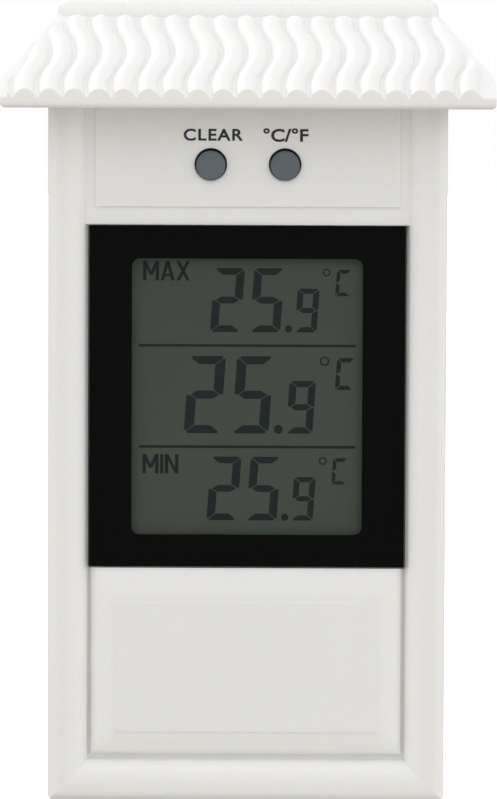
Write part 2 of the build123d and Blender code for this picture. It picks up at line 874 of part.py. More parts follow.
trimmed_ribs = ribs.part & rib_field.part

slope_ratio = slope_rise / slope_run
ceiling_drop = roof_wall * slope_length / slope_run
ceiling_front = fascia_high + slope_ratio * roof_wall - ceiling_drop
rear_drop = 3.0
corner_drop = 0.8
hollow_back = back - roof_wall
with BuildPart() as roof_hollow:
    with BuildSketch(facing(eave_front + roof_wall)):
        with BuildLine():
            Polyline(
                (-roof_half_width + roof_wall, eave_low - 1),
                (roof_half_width - roof_wall, eave_low - 1),
                (roof_half_width - roof_wall, hip_low - corner_drop),
                (ridge_half_width - corner_drop, ridge_base - roof_wall),
                (-ridge_half_width + corner_drop, ridge_base - roof_wall),
                (-roof_half_width + roof_wall, hip_low - corner_drop),
                close=True,
            )
        make_face()
    extrude(amount=eave_front + roof_wall - hollow_back)
    with BuildSketch(Plane.YZ.offset(-roof_half_width)):
        with BuildLine():
            Polyline(
                (eave_front + roof_wall, eave_low - 1),
                (hollow_back, eave_low - 1),
                (hollow_back, ridge_base - rear_drop - corner_drop),
                (ridge_rear, ridge_base - roof_wall),
                (ridge_front + 0.4, ridge_base - roof_wall),
                (eave_front + roof_wall, ceiling_front),
                close=True,
            )
        make_face()
    extrude(amount=2 * roof_half_width, mode=Mode.INTERSECT)

roll_end_radius = 1.6
with BuildPart() as ridge_roll:
    with BuildSketch(Plane.YZ.offset(-ridge_half_width)):
        with Locations((ridge_y, roof_high - ridge_radius)):
            Circle(ridge_radius)
    extrude(amount=2 * ridge_half_width)
    fillet(ridge_roll.edges().filter_by(GeomType.CIRCLE), radius=roll_end_radius)

web_x = 22.0
web_inside = -8.0
web_thickness = 1.5
web_bite = 1.0
web_ceiling = fascia_high + slope_ratio * (web_inside - eave_front) - web_bite
roof_boss_radius = 3.0
roof_pilot_depth = 7.0
with BuildPart() as roof:
    with BuildSketch(facing(eave_front)) as front_shape:
        with BuildLine():
            Polyline(
                (-roof_half_width, eave_low),
                (roof_half_width, eave_low),
                (roof_half_width, hip_low),
                (ridge_half_width, ridge_base),
                (-ridge_half_width, ridge_base),
                (-roof_half_width, hip_low),
                close=True,
            )
        make_face()
        hip_corners = front_shape.vertices().filter_by_position(Axis.Y, hip_low - tiny, hip_low + tiny)
        fillet(hip_corners, radius=hip_radius)
        fillet(front_shape.vertices().group_by(Axis.Y)[0], radius=eave_corner_radius)
    extrude(amount=eave_front - back)
    with BuildSketch(Plane.YZ.offset(-roof_half_width)) as side_shape:
        with BuildLine():
            Polyline(
                (eave_front, eave_low),
                (back, eave_low),
                (back, ridge_base - rear_drop),
                (ridge_rear, ridge_base),
                (ridge_front, ridge_base),
                (eave_front, fascia_high),
                close=True,
            )
        make_face()
        fillet(side_shape.vertices().group_by(Axis.X)[0].sort_by(Axis.Y)[0], radius=eave_lower_radius)
        fillet(side_shape.vertices().group_by(Axis.X)[0].sort_by(Axis.Y)[-1], radius=eave_upper_radius)
    extrude(amount=2 * roof_half_width, mode=Mode.INTERSECT)
    add(trimmed_ribs)
    add(ridge_roll.part)
    add(roof_hollow.part, mode=Mode.SUBTRACT)

    # The back wall is notched around the case, which stands up inside the roof.
    with BuildSketch(facing(back + 1)):
        panel(case_width + 2 * lip_gap, eave_low - 1, case_top)
    extrude(amount=1 + roof_wall + 1, mode=Mode.SUBTRACT)

    # Two webs and two screw bosses rest on the top of the case.
    for x in (-web_x, web_x):
        with BuildSketch(Plane.YZ.offset(x - web_thickness / 2)):
            with BuildLine():
                Polyline(
                    (web_inside, case_top),
                    (hollow_back + web_bite / 2, case_top),
                    (hollow_back + web_bite / 2, ridge_base - rear_drop),
                    (ridge_rear, ridge_base - web_bite),
                    (ridge_front, ridge_base - web_bite),
                    (web_inside, web_ceiling),
                    close=True,
                )
            make_face()
        extrude(amount=web_thickness)
    with BuildSketch(Plane.XY.offset(case_top)):
        with Locations(*roof_screw_places):
            Circle(roof_boss_radius)
    extrude(amount=ridge_base - roof_wall - case_top + web_bite / 2)
    with BuildSketch(Plane.XY.offset(case_top)):
        with Locations(*roof_screw_places):
            Circle(roof_screw_radius + pilot_gap)
    extrude(amount=roof_pilot_depth, mode=Mode.SUBTRACT)
finish(roof.part, "roof")

roof_screw_length = 8.0
roof_head_radius = 2.5
roof_head_height = 1.7
roof_cross = (2.8, 0.6)
roof_cross_depth = 1.0
with BuildPart() as roof_screws:
    with BuildSketch(Plane.XY.offset(inner_top)):
        with Locations(*roof_screw_places):
            Circle(roof_screw_radius)
    extrude(amount=roof_screw_length)
    chamfer(roof_screws.faces().group_by(Axis.Z)[-1].edges(), length=0.6)
    with BuildSketch(Plane.XY.offset(inner_top)):
        with Locations(*roof_screw_places):
            Circle(roof_head_radius)
    extrude(amount=-roof_head_height)
    fillet(roof_screws.faces().group_by(Axis.Z)[0].edges(), radius=0.6)
    with BuildSketch(Plane.XY.offset(inner_top - roof_head_height)):
        with Locations(*roof_screw_places):
            Rectangle(*roof_cross)
            Rectangle(*roof_cross[::-1])
    extrude(amount=roof_cross_depth, mode=Mode.SUBTRACT)
finish(roof_screws.part, "roof_screws")
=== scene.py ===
# %% [markdown]
# # A garden thermometer with a tiled roof
# The object is a digital maximum and minimum thermometer in white plastic. Its mouldings,
# buttons, display stack and battery bay come ready made from the CAD model. This file gives
# them their finishes, adds the printed and displayed marks, and sets up light and camera.
# Everything is in metres, the front faces -Y and the base of the case is at Z = 0.

# %% Load the frame
import json
import math

import bmesh
import bpy
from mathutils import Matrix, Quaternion, Vector


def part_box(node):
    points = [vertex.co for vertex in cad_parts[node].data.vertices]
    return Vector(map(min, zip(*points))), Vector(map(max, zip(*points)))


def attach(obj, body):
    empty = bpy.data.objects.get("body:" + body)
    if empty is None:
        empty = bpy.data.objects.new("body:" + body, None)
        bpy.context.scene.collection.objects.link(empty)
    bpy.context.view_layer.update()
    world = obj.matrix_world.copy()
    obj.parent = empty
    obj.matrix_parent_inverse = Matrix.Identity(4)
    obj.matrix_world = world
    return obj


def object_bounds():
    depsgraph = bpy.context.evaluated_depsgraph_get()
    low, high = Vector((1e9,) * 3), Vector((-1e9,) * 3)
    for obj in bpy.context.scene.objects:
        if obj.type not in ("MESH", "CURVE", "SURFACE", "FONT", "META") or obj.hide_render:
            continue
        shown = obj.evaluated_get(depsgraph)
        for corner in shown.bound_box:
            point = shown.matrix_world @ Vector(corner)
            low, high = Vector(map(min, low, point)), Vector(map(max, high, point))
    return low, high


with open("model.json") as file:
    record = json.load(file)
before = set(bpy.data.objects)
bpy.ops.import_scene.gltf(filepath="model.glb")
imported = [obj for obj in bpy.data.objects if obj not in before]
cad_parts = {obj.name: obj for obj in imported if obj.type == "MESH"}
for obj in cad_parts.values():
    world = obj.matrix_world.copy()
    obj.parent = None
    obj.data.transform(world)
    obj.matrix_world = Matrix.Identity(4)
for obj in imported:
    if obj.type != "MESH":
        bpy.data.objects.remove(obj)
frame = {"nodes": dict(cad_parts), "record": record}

mm = 0.001
scene = bpy.context.scene
nodes = frame["nodes"]
cad_low, cad_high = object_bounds()
print("CAD nodes:", len(nodes), "box:", [round(v / mm, 1) for v in (*cad_low, *cad_high)], "mm")

# %% [markdown]
# ## Two small helpers
# A finish is a tree of shader nodes. One function adds a node, sets what it is given and links
# what is already a socket, so each finish below reads like its recipe. Colours are written as
# the hex values that a paint chart gives, which a shader needs turned into linear light.


# %% Colour and node helpers
def linear(hex_code):
    """The linear RGBA colour of an sRGB hex code."""
    channels = [int(hex_code[i : i + 2], 16) / 255 for i in (1, 3, 5)]
    return (*[c / 12.92 if c <= 0.04045 else ((c + 0.055) / 1.055) ** 2.4 for c in channels], 1.0)


def add_node(tree, kind, inputs=None, **settings):
    """Adds a node. A socket among the inputs is linked, and any other value is set."""
    node = tree.nodes.new(kind)
    for name, value in settings.items():
        setattr(node, name, value)
    for name, value in (inputs or {}).items():
        if isinstance(value, bpy.types.NodeSocket):
            tree.links.new(value, node.inputs[name])
        else:
            node.inputs[name].default_value = value
    return node


def empty_material(name):
    """A new material and its node tree, with nothing in it yet."""
    material = bpy.data.materials.new(name)
    material.use_nodes = True
    material.node_tree.nodes.clear()
    return material, material.node_tree


# %% [markdown]
# Most of the pieces are mouldings: plastic, rubber or resin that took the skin of its mould.
# That skin is three things at once: a very slight drift in tone over centimetres, a fine spark
# eroded grain that breaks up the gloss, and the tiny relief of the same grain. One recipe covers
# them all, given the two tones, the grain size and how glossy the piece is.


# %% The moulded surface recipe
def moulded(name, tones, grain, relief, roughness, drift=30 * mm, **shader):
    """A moulded surface. Tones and roughness are (low, high) pairs; grain, relief and drift are
    real sizes. Further values go straight to the Principled shader."""
    material, tree = empty_material(name)
    place = add_node(tree, "ShaderNodeTexCoord").outputs["Object"]
    cloud = add_node(tree, "ShaderNodeTexNoise", {"Vector": place, "Scale": 1 / drift, "Detail": 2.0})
    tint = add_node(
        tree,
        "ShaderNodeMix",
        {0: cloud.outputs["Fac"], 6: linear(tones[0]), 7: linear(tones[1])},
        data_type="RGBA",
    )
    skin = add_node(tree, "ShaderNodeTexNoise", {"Vector": place, "Scale": 1 / grain, "Detail": 3.0})
    gloss = add_node(
        tree,
        "ShaderNodeMapRange",
        {"Value": skin.outputs["Fac"], "To Min": roughness[0], "To Max": roughness[1]},
    )
    bump = add_node(
        tree,
        "ShaderNodeBump",
        {"Height": skin.outputs["Fac"], "Distance": relief, "Strength": 1.0},
    )
    surface = add_node(
        tree,
        "ShaderNodeBsdfPrincipled",
        {
            "Base Color": tint.outputs[2],
            "Roughness": gloss.outputs["Result"],
            "Normal": bump.outputs["Normal"],
            **shader,
        },
    )
    add_node(tree, "ShaderNodeOutputMaterial", {"Surface": surface.outputs["BSDF"]})
    return material


finishes = {}

# %% [markdown]
# ## White ABS
# The case, the roof and the battery door are injection moulded ABS, pigmented with titanium
# white. The mould was spark eroded, which leaves a satin skin: highlights are broad and there
# is no mirror gloss. The real grain is about 0.05 mm, too fine to show here, so it is drawn at
# 0.35 mm. ABS has an IOR of about 1.54. Light sinks a millimetre or so into it before it comes
# out again, a little further at the red end, which softens the creases and warms them.

# %% White ABS
finishes["white_abs"] = moulded(
    "moulded_white_abs",
    ("#EFEEEC", "#F3F2F0"),
    grain=0.35 * mm,
    relief=0.004 * mm,
    roughness=(0.34, 0.46),
    **{
        "IOR": 1.54,
        "Subsurface Weight": 0.4,
        "Subsurface Radius": (1.0, 0.7, 0.45),
        "Subsurface Scale": 1.2 * mm,
    },
)
print("white ABS ready")

# %% [markdown]
# ## Window
# The lens is a die cut sheet of clear acrylic with a polished face. Its black border is screen
# printed on the back with gloss ink, so it is seen through the acrylic and looks deep. Acrylic
# has an IOR of 1.49. A sheet this thin throws no shadow worth drawing, and without one the
# light reaches the display behind it as it does through the real lens.

# %% Clear lens and printed border
finishes["clear_acrylic"] = moulded(
    "clear_cast_acrylic",
    ("#FAFCFB", "#FDFEFE"),
    grain=8 * mm,
    relief=0.002 * mm,
    roughness=(0.0, 0.03),
    **{"IOR": 1.49, "Transmission Weight": 1.0},
)
nodes["window_lens"].visible_shadow = False
finishes["black_ink"] = moulded(
    "screen_printed_black_ink",
    ("#0D0E0E", "#101111"),
    grain=0.4 * mm,
    relief=0.001 * mm,
    roughness=(0.3, 0.42),
    **{"IOR": 1.5, "Specular IOR Level": 0.08},
)
finishes["clear_tape"] = moulded(
    "clear_acrylic_tape",
    ("#D9DAD2", "#E2E2DA"),
    grain=0.8 * mm,
    relief=0.01 * mm,
    roughness=(0.25, 0.4),
    **{"IOR": 1.47, "Transmission Weight": 0.4},
)
print("window finishes ready")

# %% [markdown]
# ## Display face
# A reflective liquid crystal display looks like a flat greenish grey: light crosses the front
# polariser, returns from the reflector and crosses it again. The film itself has a satin anti
# glare skin. The colour belongs to the whole stack, so it is given to the front film, opaque,
# and the marks are laid on it.

# %% Polariser, glasses and reflector
# Film and ink lie against the glass with no air between, so they hardly reflect by themselves.
bonded = {"IOR": 1.5, "Specular IOR Level": 0.08}
finishes["polariser_film"] = moulded(
    "satin_polariser_film",
    ("#525950", "#596057"),
    grain=2 * mm,
    relief=0.0005 * mm,
    roughness=(0.5, 0.6),
    drift=26 * mm,
    **bonded,
)
finishes["display_glass"] = moulded(
    "display_soda_lime_glass",
    ("#DDE6E1", "#E6EDE9"),
    grain=6 * mm,
    relief=0.001 * mm,
    roughness=(0.02, 0.06),
    **{"IOR": 1.52, "Transmission Weight": 0.9},
)
finishes["reflector_film"] = moulded(
    "brushed_reflector_film",
    ("#AEB4A8", "#BCC1B5"),
    grain=0.2 * mm,
    relief=0.002 * mm,
    roughness=(0.35, 0.5),
    Metallic=0.7,
)
print("display finishes ready")

# %% [markdown]
# ## Rubber and the smaller insulators
# The two button tops are silicone rubber, dead matt with a very slight sheen at the rim. The
# strips that join the display to the board are layered rubber, carbon loaded and clear in turn.
# The display frame and the switch bodies are black nylon, the chip is sealed with a drop of
# epoxy, and the sensor bead is dipped in a paler one.

# %% Rubber, nylon, epoxy and ceramic
finishes["grey_rubber"] = moulded(
    "matt_grey_silicone_rubber",
    ("#5A6267", "#61696E"),
    grain=0.25 * mm,
    relief=0.006 * mm,
    roughness=(0.62, 0.78),
    drift=4 * mm,
    IOR=1.41,
)
finishes["zebra_rubber"] = moulded(
    "layered_contact_rubber",
    ("#C9A9A4", "#2A2A2C"),
    grain=0.1 * mm,
    relief=0.004 * mm,
    roughness=(0.5, 0.7),
    drift=0.2 * mm,
)
finishes["black_nylon"] = moulded(
    "moulded_black_nylon",
    ("#17181A", "#1F2022"),
    grain=0.2 * mm,
    relief=0.006 * mm,
    roughness=(0.45, 0.6),
    IOR=1.53,
)
finishes["chip_epoxy"] = moulded(
    "dropped_black_epoxy",
    ("#0C0C0D", "#141414"),
    grain=1.5 * mm,
    relief=0.02 * mm,
    roughness=(0.15, 0.35),
    IOR=1.55,
)
finishes["bead_epoxy"] = moulded(
    "dipped_amber_epoxy",
    ("#6B2F14", "#7C3A1B"),
    grain=0.6 * mm,
    relief=0.01 * mm,
    roughness=(0.12, 0.25),
    drift=1 * mm,
    IOR=1.55,
)
finishes["ceramic"] = moulded(
    "fired_tan_ceramic",
    ("#B49470", "#C2A37F"),
    grain=0.1 * mm,
    relief=0.004 * mm,
    roughness=(0.4, 0.55),
    drift=2 * mm,
)
print("small finishes ready")

# %% [markdown]
# ## Metals
# Screws, springs and contacts are small steel pieces with a bright plating. What the eye reads
# is a cool metal with fine drawn or turned lines, so the same kind of noise is squeezed along
# one axis until it becomes lines. Metals keep the shader's default IOR.


# %% The drawn metal recipe
def drawn_metal(name, tones, line_width, line_length, relief, roughness):
    """Plated metal with fine lines along X. Widths and lengths are real sizes."""
    material, tree = empty_material(name)
    place = add_node(tree, "ShaderNodeTexCoord").outputs["Object"]
    squeeze = add_node(
        tree,
        "ShaderNodeMapping",
        {"Vector": place, "Scale": (1 / line_length, 1 / line_width, 1 / line_width)},
    )
    lines = add_node(tree, "ShaderNodeTexNoise", {"Vector": squeeze.outputs["Vector"], "Scale": 1.0})
    tint = add_node(
        tree,
        "ShaderNodeMix",
        {0: lines.outputs["Fac"], 6: linear(tones[0]), 7: linear(tones[1])},
        data_type="RGBA",
    )
    gloss = add_node(
        tree,
        "ShaderNodeMapRange",
        {"Value": lines.outputs["Fac"], "To Min": roughness[0], "To Max": roughness[1]},
    )
    bump = add_node(tree, "ShaderNodeBump", {"Height": lines.outputs["Fac"], "Distance": relief})
    surface = add_node(
        tree,
        "ShaderNodeBsdfPrincipled",
        {
            "Base Color": tint.outputs[2],
            "Roughness": gloss.outputs["Result"],
            "Normal": bump.outputs["Normal"],
            "Metallic": 1.0,
        },
    )
    add_node(tree, "ShaderNodeOutputMaterial", {"Surface": surface.outputs["BSDF"]})
    return material


# %% Plated steel
finishes["tin_plate"] = drawn_metal(
    "bright_tin_plate", ("#B9B6AE", "#CFCCC5"), 0.08 * mm, 1.2 * mm, 0.002 * mm, (0.24, 0.4)
)
finishes["spring_steel"] = drawn_metal(
    "nickel_plated_spring_steel", ("#A9A59B", "#C9C5BB"), 0.06 * mm, 2 * mm, 0.002 * mm, (0.18, 0.32)
)
finishes["screw_steel"] = drawn_metal(
    "zinc_plated_screw_steel", ("#9A9FA6", "#BCC1C8"), 0.05 * mm, 0.5 * mm, 0.003 * mm, (0.26, 0.42)
)
print("metals ready")

# %% [markdown]
# ## Circuit board
# The board is glass and epoxy laminate under a green solder mask. Copper tracks about 0.3 mm
# wide run under the mask and show as a slightly lighter, slightly raised green. A brick pattern
# laid on the board's own plane gives runs of straight tracks with gaps between them.

# %% Solder mask over copper tracks
track_pitch = 1.6 * mm
finishes["board_laminate"], tree = empty_material("green_solder_mask")
place = add_node(tree, "ShaderNodeTexCoord").outputs["Object"]
# The board stands upright, so its X and Z are turned into the pattern's own plane.
flat = add_node(
    tree,
    "ShaderNodeMapping",
    {"Vector": place, "Rotation": (math.pi / 2, 0, 0), "Scale": (1 / track_pitch,) * 3},
)
tracks = add_node(
    tree,
    "ShaderNodeTexBrick",
    {
        "Vector": flat.outputs["Vector"],
        "Color1": linear("#124A2C"),
        "Color2": linear("#155232"),
        "Mortar": linear("#2C7A4A"),
        "Scale": 1.0,
        "Mortar Size": 0.09,
        "Brick Width": 7.0,
        "Row Height": 1.0,
    },
)
raised = add_node(tree, "ShaderNodeBump", {"Height": tracks.outputs["Fac"], "Distance": 0.03 * mm})
mask_surface = add_node(
    tree,
    "ShaderNodeBsdfPrincipled",
    {
        "Base Color": tracks.outputs["Color"],
        "Normal": raised.outputs["Normal"],
        "Roughness": 0.28,
        "IOR": 1.52,
    },
)
add_node(tree, "ShaderNodeOutputMaterial", {"Surface": mask_surface.outputs["BSDF"]})
print("board ready, tracks every", track_pitch / mm, "mm")

# %% [markdown]
# ## Cell and leads
# The cell wears a shrunk printed sleeve: one dark band round the positive end and a plain silver
# one for the rest, with no words. The bands follow the cell's length, which lies along X. The
# two leads are stranded wire in soft PVC, red and black.

# %% Sleeve of the cell
band_length = 12 * mm
_, cell_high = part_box("battery_cell")
band_start = cell_high.x - band_length
finishes["cell_jacket"], tree = empty_material("printed_cell_sleeve")
place = add_node(tree, "ShaderNodeTexCoord").outputs["Object"]
along = add_node(tree, "ShaderNodeSeparateXYZ", {"Vector": place})
in_band = add_node(
    tree, "ShaderNodeMath", {0: along.outputs["X"], 1: band_start}, operation="GREATER_THAN"
)
foil = add_node(tree, "ShaderNodeTexNoise", {"Vector": place, "Scale": 1 / (0.5 * mm)})
silver = add_node(
    tree,
    "ShaderNodeMix",
    {0: foil.outputs["Fac"], 6: linear("#A4A8AD"), 7: linear("#B9BDC2")},
    data_type="RGBA",
)
bands = add_node(
    tree,
    "ShaderNodeMix",
    {0: in_band.outputs["Value"], 6: silver.outputs[2], 7: linear("#23262C")},
    data_type="RGBA",
)
wrinkles = add_node(tree, "ShaderNodeBump", {"Height": foil.outputs["Fac"], "Distance": 0.004 * mm})
sleeve_surface = add_node(
    tree,
    "ShaderNodeBsdfPrincipled",
    {
        "Base Color": bands.outputs[2],
        "Normal": wrinkles.outputs["Normal"],
        "Roughness": 0.3,
        "Metallic": 0.35,
        "Coat Weight": 0.5,
    },
)
add_node(tree, "ShaderNodeOutputMaterial", {"Surface": sleeve_surface.outputs["BSDF"]})
print("sleeve ready, band from X", round(band_start / mm, 1), "mm")

# %% Insulation of the leads
for lead, tones in (("red", ("#B01E1A", "#C02A24")), ("black", ("#141415", "#1D1D1F"))):
    finishes[f"{lead}_insulation"] = moulded(
        f"extruded_{lead}_pvc",
        tones,
        grain=0.3 * mm,
        relief=0.004 * mm,
        roughness=(0.35, 0.48),
        drift=5 * mm,
        IOR=1.53,
    )
print("leads ready")

# %% [markdown]
# ## Dressing the CAD nodes
# The record names a material slot for each node. Each node's mesh gets the finish of its slot,
# so a slot that is repainted later carries all of its nodes with it.

# %% Finishes onto the nodes
for subpart in frame["record"]["subparts"]:
    mesh = nodes[subpart["node"]].data
    mesh.materials.clear()
    mesh.materials.append(finishes[subpart["material_slot"]])
bare = [name for name, node in nodes.items() if not node.data.materials]
print("nodes dressed:", len(nodes) - len(bare), "bare:", bare)

# %% [markdown]
# ## Marks on the display
# The dark marks of the display are electrodes: flat shapes with mitred ends, separated by thin
# light gaps. Each is drawn as an outline, and all the outlines of one row become one thin sheet
# that a Solidify modifier gives its thickness. The digits lean four degrees.

# %% From outlines to a thin plate
mark_thickness = 0.02 * mm


def plate(name, outlines, face_y, thickness, material):
    """A piece made of flat outlines, given as lists of (x, z), standing proud of a front face."""
    shape = bmesh.new()
    for outline in outlines:
        corners = [shape.verts.new((x, face_y, z)) for x, z in outline]
        shape.faces.new(corners)
    bmesh.ops.remove_doubles(shape, verts=shape.verts, dist=0.001 * mm)
    shape.normal_update()
    for face in shape.faces:
        if face.normal.y > 0:
            face.normal_flip()
    mesh = bpy.data.meshes.new(name)
    shape.to_mesh(mesh)
    shape.free()
    return mark(name, mesh, thickness, material)


def mark(name, mesh, thickness, material):
    """A flat mesh made a piece of the case: given its thickness, finish and slot."""
    piece = bpy.data.objects.new(name, mesh)
    scene.collection.objects.link(piece)
    body = piece.modifiers.new("thickness", "SOLIDIFY")
    body.thickness = thickness
    body.offset = 1.0
    mesh.materials.append(material)
    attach(piece, "case")
    return piece


# %% [markdown]
# A seven segment digit needs only one upright and one bar, because the others are their
# mirror images. The outer corners are cut, and each diagonal gap lies between a bar and an
# upright.

# %% Segments of one digit
segment_gap = 0.09 * mm
lean = math.tan(math.radians(4.0))
lit_segments = {"2": "abged", "5": "afgcd", "9": "abcdfg", "C": "afed"}


def digit(symbol, left, base, width, height, upright, bar):
    """The outlines of one digit, leaning right from its lower left corner."""
    cut = 0.45 * bar
    middle = height / 2
    tip = 0.35 * upright
    top = [
        (cut, height),
        (cut / 2 + segment_gap, height - cut / 2),
        (upright + segment_gap, height - bar),
        (width - upright - segment_gap, height - bar),
        (width - cut / 2 - segment_gap, height - cut / 2),
        (width - cut, height),
    ]
    side = [
        (0, height - cut),
        (0, middle + segment_gap),
        (tip, middle + segment_gap),
        (upright, middle + bar / 2 + segment_gap),
        (upright, height - bar - segment_gap),
        (cut / 2, height - cut / 2 - segment_gap),
    ]
    waist = [
        (tip + segment_gap, middle),
        (upright + segment_gap, middle - bar / 2),
        (width - upright - segment_gap, middle - bar / 2),
        (width - tip - segment_gap, middle),
        (width - upright - segment_gap, middle + bar / 2),
        (upright + segment_gap, middle + bar / 2),
    ]
    segments = {
        "a": top,
        "d": [(x, height - z) for x, z in top],
        "f": side,
        "e": [(x, height - z) for x, z in side],
        "b": [(width - x, z) for x, z in side],
        "c": [(width - x, height - z) for x, z in side],
        "g": waist,
    }
    return [
        [(left + x + z * lean, base + z) for x, z in segments[letter]]
        for letter in lit_segments[symbol]
    ]


def disc(x, z, radius, hole=0.0):
    """A round dot, or a ring of short blocks when it has a hole."""
    steps = 20
    turns = [2 * math.pi * k / steps for k in range(steps + 1)]
    rim = [(math.cos(t), math.sin(t)) for t in turns]
    if not hole:
        return [[(x + radius * c, z + radius * s) for c, s in rim[:-1]]]
    return [
        [
            (x + hole * a[0], z + hole * a[1]),
            (x + radius * a[0], z + radius * a[1]),
            (x + radius * b[0], z + radius * b[1]),
            (x + hole * b[0], z + hole * b[1]),
        ]
        for a, b in zip(rim, rim[1:])
    ]


# %% [markdown]
# The three rows have one layout. The middle row, the temperature now, is a fifth larger than the
# highest and the lowest. So the layout is written once in millimetres for a small row, and each
# row gives its own place and size. All rows are set out from the display's viewing area, which
# is the front film less the margin that the printed border hides.

# %% The three readings
segment_ink = moulded(
    "dark_liquid_crystal",
    ("#20292B", "#242D2F"),
    grain=2 * mm,
    relief=0.0005 * mm,
    roughness=(0.5, 0.6),
    **bonded,
)
film_low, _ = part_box("lcd_front_polariser")
hidden_margin = 1.3 * mm
view_low = film_low.z + hidden_margin
marks_face = film_low.y

# The left edge and the base of each row, in millimetres, and its size beside a small row.
rows = {
    "highest": (-6.07, 32.9, 1.0),
    "current": (-10.3, 16.4, 1.21),
    "lowest": (-6.53, 2.2, 1.0),
}
# A symbol's left, base, width and height in a small row, then its upright and bar thickness.
symbols = (
    ("2", 0.0, 0.0, 4.95, 10.4, 1.34, 1.1),
    ("5", 6.45, 0.0, 4.95, 10.4, 1.34, 1.1),
    ("9", 13.75, 0.0, 3.55, 7.1, 0.98, 0.84),
    ("C", 20.3, 5.9, 2.4, 4.3, 0.6, 0.6),
)
# The centre, radius and hole of the decimal point and of the degree ring.
rounds = ((12.75, 0.55, 0.6, 0.0), (18.9, 9.75, 0.65, 0.42))

for name, (left, base, size) in rows.items():
    unit = size * mm
    left_edge = left * mm
    base_line = view_low + base * mm
    outlines = []
    for symbol, x, z, *measures in symbols:
        measures = [measure * unit for measure in measures]
        outlines += digit(symbol, left_edge + x * unit, base_line + z * unit, *measures)
    for x, z, radius, hole in rounds:
        outlines += disc(left_edge + x * unit, base_line + z * unit, radius * unit, hole * unit)
    row = plate(f"lcd_{name}_reading", outlines, marks_face, mark_thickness, segment_ink)
    print("row", name, "has", len(outlines), "outlines")

# %% Lines between the rows
line_half = 0.22 * mm
line_ends = 17.6 * mm
line_heights = (30.7 * mm, 14.2 * mm)
outlines = []
for height in line_heights:
    z = view_low + height
    outlines.append(
        [
            (-line_ends, z - line_half),
            (line_ends, z - line_half),
            (line_ends, z + line_half),
            (-line_ends, z + line_half),
        ]
    )
row_lines = plate("lcd_row_lines", outlines, marks_face, mark_thickness, segment_ink)
print("lines at", [round(height / mm, 1) for height in line_heights], "mm above the view's lower edge")

# %% [markdown]
# ## Words
# The words on the display and beside the buttons are only the function marks that any such
# thermometer carries. The display's words are electrodes too, so they are drawn in straight
# strokes. The words beside the buttons are printed, so they are set in Blender's own sans serif,
# made a mesh, fitted to the size of the real marks, and given the thickness of a layer of ink.


# %% Words on the display
# A display's letters are straight strokes. Each stroke runs from one point to another in a box
# one wide and one high, and keeps the same width across, as if cut with a broad pen.
strokes = {
    "M": ((0, 0, 0, 1), (0, 1, 0.5, 0.3), (0.5, 0.3, 1, 1), (1, 1, 1, 0)),
    "A": ((0, 0, 0.5, 1), (0.5, 1, 1, 0)),
    "X": ((0, 0, 1, 1), (0, 1, 1, 0)),
    "I": ((0, 0, 0, 1),),
    "N": ((0, 0, 0, 1), (0, 1, 1, 0), (1, 0, 1, 1)),
}
letter_widths = {"M": 2.6 * mm, "A": 2.3 * mm, "X": 2.2 * mm, "I": 0.55 * mm, "N": 2.2 * mm}
letter_height = 3.15 * mm
pen = 0.55 * mm
letter_gap = 0.25 * mm
words_left = -16.95 * mm
words_base = {"MAX": 41.25 * mm, "MIN": 9.8 * mm}


def stroke_word(letters, left, base):
    """The outlines of a word in straight strokes, from its lower left corner."""
    outlines = []
    for letter in letters:
        reach = letter_widths[letter] - pen
        for x0, z0, x1, z1 in strokes[letter]:
            low = (left + x0 * reach, base + z0 * letter_height)
            high = (left + x1 * reach, base + z1 * letter_height)
            outlines.append([low, (low[0] + pen, low[1]), (high[0] + pen, high[1]), high])
        if letter == "A":
            bar_low = base + 0.22 * letter_height
            bar_high = bar_low + 0.7 * pen
            bar_left = left + 0.2 * reach + pen / 2
            bar_right = left + 0.8 * reach + pen / 2
            outlines.append(
                [(bar_left, bar_low), (bar_right, bar_low), (bar_right, bar_high), (bar_left, bar_high)]
            )
        left += reach + pen + letter_gap
    return outlines


for letters, base in words_base.items():
    outlines = stroke_word(letters, words_left, view_low + base)
    piece = plate("lcd_word_" + letters.lower(), outlines, marks_face, mark_thickness, segment_ink)
    print(piece.name, "has", len(outlines), "strokes")

# %% Setting a printed word
letter_weight = 0.022  # how far each outline is pushed out, in letter heights


def word(name, letters, size, centre, face_y, thickness, material, spacing):
    """Letters fitted to a width and height, standing upright on a front face."""
    curve = bpy.data.curves.new(name, "FONT")
    curve.body = letters
    curve.offset = letter_weight
    curve.space_character = spacing
    holder = bpy.data.objects.new(name + "_curve", curve)
    scene.collection.objects.link(holder)
    bpy.context.view_layer.update()
    evaluated = holder.evaluated_get(bpy.context.evaluated_depsgraph_get())
    mesh = bpy.data.meshes.new_from_object(evaluated)
    mesh.name = name
    bpy.data.objects.remove(holder)
    across = [v.co.x for v in mesh.vertices]
    up = [v.co.y for v in mesh.vertices]
    stretch_x = size[0] / (max(across) - min(across))
    stretch_z = size[1] / (max(up) - min(up))
    middle_x = (max(across) + min(across)) / 2
    middle_z = (max(up) + min(up)) / 2
    for v in mesh.vertices:
        x, y, _ = v.co
        new_x = centre[0] + (x - middle_x) * stretch_x
        new_z = centre[1] + (y - middle_z) * stretch_z
        v.co = (new_x, face_y, new_z)
    return mark(name, mesh, thickness, material)


# %% Words beside the buttons
pad_ink = moulded(
    "pad_printed_black_ink",
    ("#1A1714", "#211E1A"),
    grain=0.2 * mm,
    relief=0.002 * mm,
    roughness=(0.4, 0.55),
    IOR=1.5,
)
panel_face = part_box("window_lens")[0].y  # the raised panel is level with the lens
ink_thickness = 0.015 * mm
label_rise = 4.95 * mm
